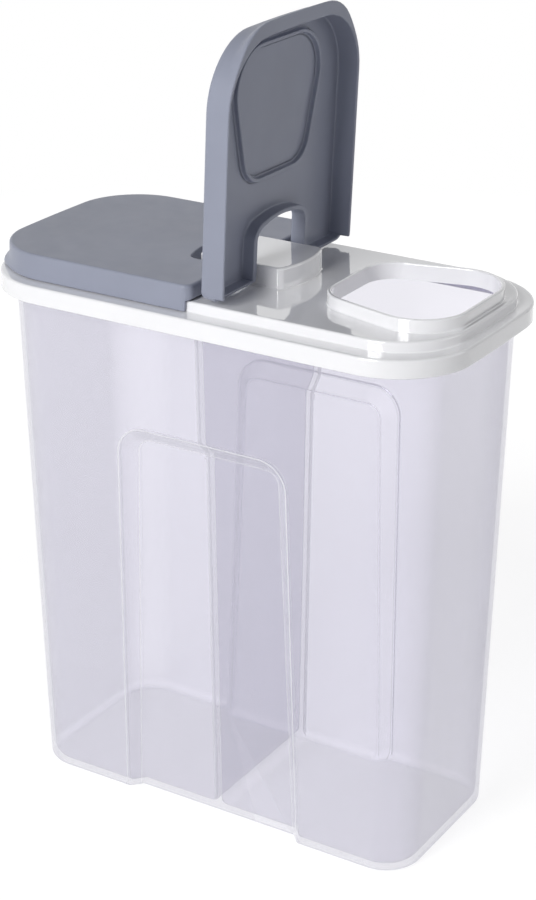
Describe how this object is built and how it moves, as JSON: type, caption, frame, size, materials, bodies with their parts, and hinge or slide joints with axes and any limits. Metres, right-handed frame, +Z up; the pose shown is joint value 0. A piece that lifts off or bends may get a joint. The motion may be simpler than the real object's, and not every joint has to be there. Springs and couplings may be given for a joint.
{
  "type": "cereal container with flip spout",
  "caption": "Tall clear kitchen canister with a dividing wall inside, a white lift-off lid with raised pour collars, and grey flip caps hinged at the lid's middle, one closed and one standing open",
  "frame": {"origin": "centre of the container's base on the surface it stands on, midway between the ends and between the long sides", "axes": "+X along the length towards the cap that stands open, +Y towards the back long side, +Z up"},
  "size_m": [0.2089, 0.1072, 0.3315],
  "materials": {
    "clear_body": "clear, faintly frosted polypropylene",
    "white_lid": "glossy white moulded plastic",
    "grey_cap": "satin grey moulded plastic"
  },
  "bodies": {
    "container": {"container": "clear_body"},
    "lid": {"lid": "white_lid"},
    "cap_left": {"cap_left": "grey_cap"},
    "cap_right": {"cap_right": "grey_cap"}
  },
  "joints": [
    {"name": "lid_lift", "type": "slide", "parent": "container", "child": "lid", "axis": [0, 0, 1], "range_m": [0, 0.15]},
    {"name": "cap_left_hinge", "type": "hinge", "parent": "lid", "child": "cap_left", "pos_m": [-0.0049, 0, 0.2316], "axis": [0, 1, 0], "range_deg": [0, 90]},
    {"name": "cap_right_hinge", "type": "hinge", "parent": "lid", "child": "cap_right", "pos_m": [0.0049, 0, 0.2316], "axis": [0, -1, 0], "range_deg": [-87.5, 2.5]}
  ]
}
